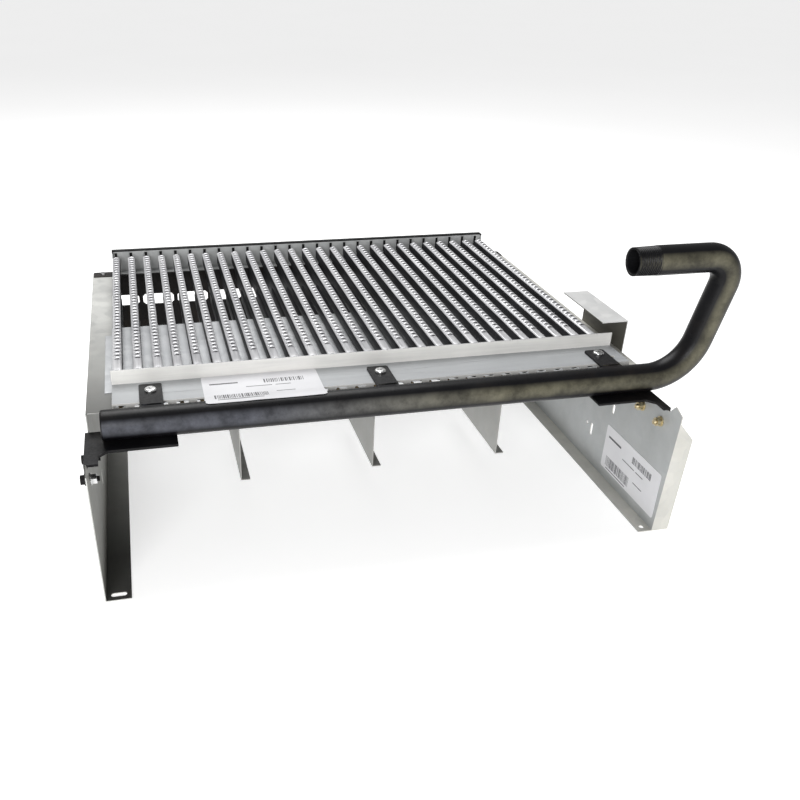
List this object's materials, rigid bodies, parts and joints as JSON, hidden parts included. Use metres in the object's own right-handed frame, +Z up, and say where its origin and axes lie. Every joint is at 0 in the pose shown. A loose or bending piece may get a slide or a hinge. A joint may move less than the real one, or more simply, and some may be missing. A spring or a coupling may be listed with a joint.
{
  "type": "gas heater burner tray",
  "caption": "Open sheet-metal burner tray with a row of ported blade burners, fed by a bent black pipe manifold along its front edge.",
  "frame": {"origin": "middle of the overall length and depth, at the surface that the feet stand on", "axes": "+X to the right along the manifold, towards the bent end; +Y to the back along the burners; +Z up"},
  "size_m": [0.7487, 0.567, 0.3365],
  "materials": {
    "burner_steel": "satin",
    "rail_steel": "satin",
    "galvanised_sheet": "satin",
    "black_plate": "matte",
    "black_pipe": "satin",
    "black_bracket": "satin",
    "orifice_brass": "satin",
    "zinc_screws": "satin",
    "plain_fasteners": "satin",
    "yellow_zinc": "satin",
    "label_paper": "matte"
  },
  "bodies": {
    "root": {"angle_bracket": "galvanised_sheet", "angle_rivets": "plain_fasteners", "bracket_bolts": "yellow_zinc", "bracket_nuts": "yellow_zinc", "burner_01": "burner_steel", "burner_02": "burner_steel", "burner_03": "burner_steel", "burner_04": "burner_steel", "burner_05": "burner_steel", "burner_06": "burner_steel", "burner_07": "burner_steel", "burner_08": "burner_steel", "burner_09": "burner_steel", "burner_10": "burner_steel", "burner_11": "burner_steel", "burner_12": "burner_steel", "burner_13": "burner_steel", "burner_14": "burner_steel", "burner_15": "burner_steel", "burner_16": "burner_steel", "burner_17": "burner_steel", "burner_18": "burner_steel", "burner_19": "burner_steel", "burner_20": "burner_steel", "burner_21": "burner_steel", "burner_22": "burner_steel", "burner_23": "burner_steel", "burner_24": "burner_steel", "burner_25": "burner_steel", "burner_26": "burner_steel", "burner_27": "burner_steel", "burner_support": "galvanised_sheet", "frame_screws": "plain_fasteners", "front_deck": "galvanised_sheet", "front_label": "label_paper", "front_rail": "rail_steel", "gas_orifices": "orifice_brass", "left_fin": "galvanised_sheet", "left_manifold_bracket": "black_bracket", "left_manifold_tab": "black_bracket", "left_side_panel": "galvanised_sheet", "manifold_end_cap": "black_pipe", "manifold_pipe": "black_pipe", "middle_fin": "galvanised_sheet", "middle_manifold_tab": "black_bracket", "panel_label": "label_paper", "rail_rivets": "plain_fasteners", "rear_plate": "black_plate", "rear_rail": "galvanised_sheet", "right_fin": "galvanised_sheet", "right_manifold_bracket": "black_bracket", "right_manifold_tab": "black_bracket", "right_side_panel": "galvanised_sheet", "tab_screws": "zinc_screws"}
  },
  "joints": []
}
